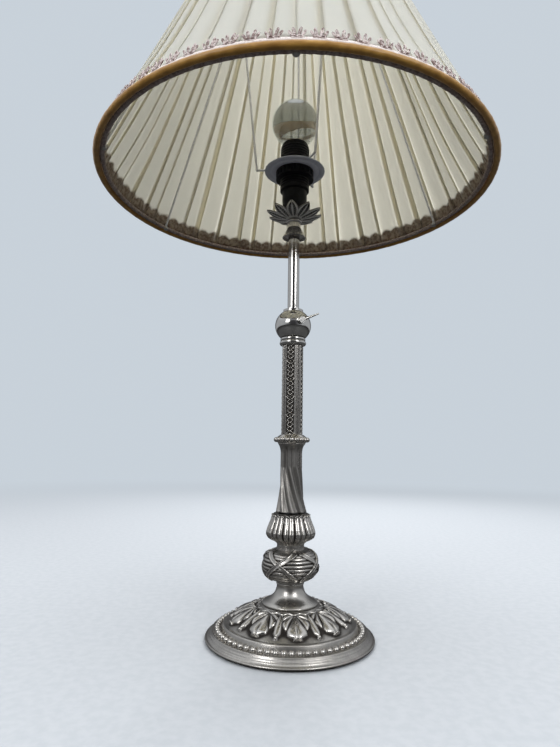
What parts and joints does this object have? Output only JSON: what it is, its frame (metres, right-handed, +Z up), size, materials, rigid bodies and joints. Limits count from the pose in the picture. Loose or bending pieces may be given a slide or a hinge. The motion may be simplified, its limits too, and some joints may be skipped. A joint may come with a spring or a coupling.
{
  "type": "candlestick lamp",
  "caption": "Height-adjustable candlestick table lamp: round cast foot, ornate stem, sliding rod with clamp lever, bulb holder and wide pleated cloth shade.",
  "frame": {"origin": "centre of the foot's underside, on the table", "axes": "+Z up along the stem, -Y towards the front that the picture shows, +X to the viewer's right"},
  "size_m": [0.3621, 0.3622, 0.6582],
  "materials": {
    "aged_silver": "silver-plated cast brass, worn bright on the high spots and dark in the hollows",
    "polished_silver": "polished plate with fine rubbing marks",
    "bright_brass": "plain turned brass",
    "steel": "zinc-plated steel",
    "black_plastic": "moulded black thermoset, slight sheen",
    "porcelain": "glazed insulator",
    "white_wire": "white lacquered steel wire",
    "shade_cloth": "unlined cream cotton-silk cloth in knife pleats",
    "amber_satin": "satin piping with a soft sheen",
    "rose_braid": "gimp braid with looped picots",
    "bulb_glass": "clear blown glass",
    "crown_mirror": "silvered inside of the crown, brown coating towards the lamp",
    "cap_metal": "rolled screw thread"
  },
  "bodies": {
    "stand": {"foot": "aged_silver", "cable_inlet_bush": "black_plastic", "tie_washer": "steel", "tie_nut": "steel", "tie_tube": "steel", "trumpet_foot": "aged_silver", "knop": "aged_silver", "petal_cup": "aged_silver", "twisted_column": "aged_silver", "beaded_collar": "aged_silver", "lattice_sleeve": "aged_silver", "ferrule": "polished_silver", "clamp_head": "polished_silver", "guide_bush": "bright_brass", "liner_tube": "steel"},
    "brake_screw": {"brake_pad": "bright_brass"},
    "lever": {"clamp_lever": "polished_silver"},
    "slider": {"slider_bush": "bright_brass"},
    "rod": {"inner_rod": "polished_silver", "stop_ring": "bright_brass", "head_cup": "aged_silver", "rosette": "aged_silver", "holder_cap": "black_plastic", "holder_sleeve": "black_plastic", "contact_block": "porcelain", "terminal_screws": "bright_brass", "socket_shell": "bright_brass", "centre_contact": "bright_brass", "lower_ring_nut": "black_plastic", "upper_ring_nut": "black_plastic", "bulb_glass": "bulb_glass", "crown_mirror": "crown_mirror", "bulb_cap": "cap_metal", "bulb_contact": "cap_metal", "filament_mount": "bulb_glass"},
    "shade": {"carrier_washer": "white_wire", "carrier_arms": "white_wire", "bottom_ring_wire": "white_wire", "top_ring_wire": "white_wire", "shade_struts": "white_wire", "pleated_cloth": "shade_cloth", "piping_bottom": "amber_satin", "piping_top": "amber_satin", "braid_bottom": "rose_braid", "braid_top": "rose_braid"}
  },
  "joints": [
    {"name": "screw_travel", "type": "slide", "parent": "stand", "child": "brake_screw", "axis": [0.4067, -0.9135, 0], "range_m": [0, 0.00064]},
    {"name": "lever_turn", "type": "hinge", "parent": "brake_screw", "child": "lever", "pos_m": [0, 0, 0.2698], "axis": [0.4067, -0.9135, 0], "range_deg": [0, 330]},
    {"name": "height_slide", "type": "slide", "parent": "stand", "child": "slider", "axis": [0, 0, 1], "range_m": [-0.069, 0.098]},
    {"name": "rod_turn", "type": "hinge", "parent": "slider", "child": "rod", "pos_m": [0, 0, 0.16], "axis": [0, 0, 1], "range_deg": [-170, 170]},
    {"name": "shade_turn", "type": "hinge", "parent": "rod", "child": "shade", "pos_m": [0, 0, 0.4186], "axis": [0, 0, 1], "continuous": true}
  ],
  "couplings": [
    {"joint": "lever_turn", "follows": "screw_travel", "rad_per_m": 8976}
  ]
}
